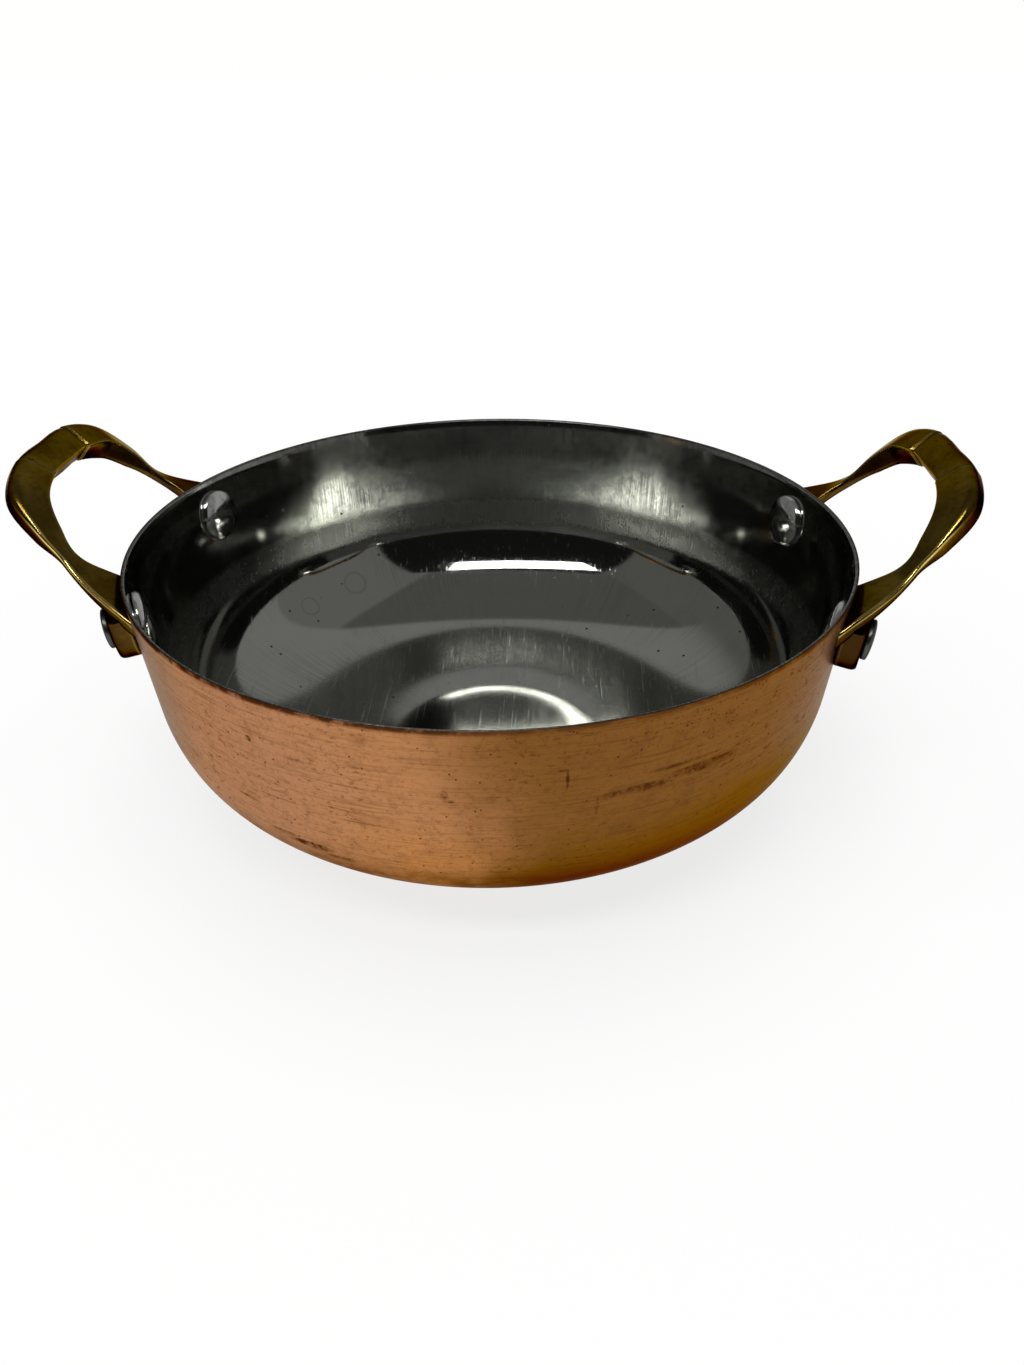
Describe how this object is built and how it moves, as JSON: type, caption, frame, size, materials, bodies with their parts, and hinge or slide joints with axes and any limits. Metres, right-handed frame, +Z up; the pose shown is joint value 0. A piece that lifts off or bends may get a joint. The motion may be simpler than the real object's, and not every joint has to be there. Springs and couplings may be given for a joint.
{
  "type": "gratin pan",
  "caption": "Small round two-handled gratin pan with a copper shell, a steel lining and riveted cast brass loop handles.",
  "frame": {"origin": "middle of the base, on the surface that the pan stands on", "axes": "+X towards the right handle, -Y towards the front, +Z up"},
  "size_m": [0.2022, 0.16, 0.0789],
  "materials": {
    "copper": "satin copper, finely brushed round the body, with worn and tarnished patches",
    "lining_steel": "polished stainless steel with fine scratches and pits",
    "handle_brass": "cast brass, aged to olive brown with bright worn edges",
    "rivet_steel": "polished steel"
  },
  "bodies": {
    "root": {"copper_shell": "copper", "steel_lining": "lining_steel", "left_handle": "handle_brass", "right_handle": "handle_brass", "left_front_rivet": "rivet_steel", "left_rear_rivet": "rivet_steel", "right_front_rivet": "rivet_steel", "right_rear_rivet": "rivet_steel"}
  },
  "joints": []
}
